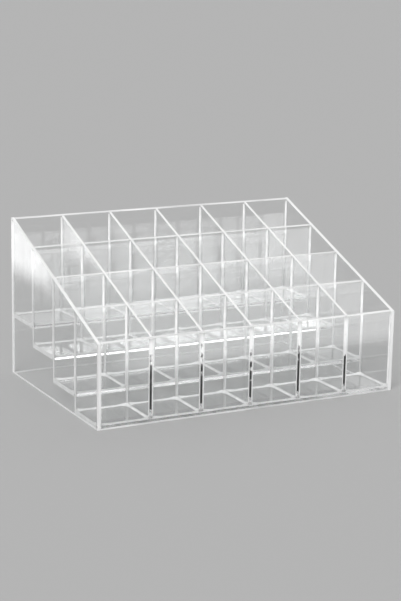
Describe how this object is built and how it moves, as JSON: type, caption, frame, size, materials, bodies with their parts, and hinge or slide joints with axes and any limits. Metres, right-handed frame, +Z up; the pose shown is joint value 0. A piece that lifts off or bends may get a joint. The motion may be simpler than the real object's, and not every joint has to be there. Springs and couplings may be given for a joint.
{
  "type": "tiered cosmetics organizer",
  "caption": "Clear tiered cosmetics organizer: open square cells in rows that step up towards the back under one sloping top line, to stand lipsticks and slim tubes upright.",
  "frame": {"origin": "centre of the footprint, on the surface that the organizer stands on", "axes": "+X across the columns to the right as seen from the front, +Y from the front panel to the back panel, +Z up"},
  "size_m": [0.145, 0.0966, 0.073],
  "materials": {
    "clear_acrylic": "crystal-clear acrylic sheet with polished faces and whitish, light-catching cut edges"
  },
  "bodies": {
    "root": {"left_side_panel": "clear_acrylic", "right_side_panel": "clear_acrylic", "front_panel": "clear_acrylic", "back_panel": "clear_acrylic", "tier_floor_1": "clear_acrylic", "tier_floor_2": "clear_acrylic", "tier_floor_3": "clear_acrylic", "tier_floor_4": "clear_acrylic", "row_wall_1": "clear_acrylic", "row_wall_2": "clear_acrylic", "row_wall_3": "clear_acrylic", "column_divider_1": "clear_acrylic", "column_divider_2": "clear_acrylic", "column_divider_3": "clear_acrylic", "column_divider_4": "clear_acrylic", "column_divider_5": "clear_acrylic"}
  },
  "joints": []
}
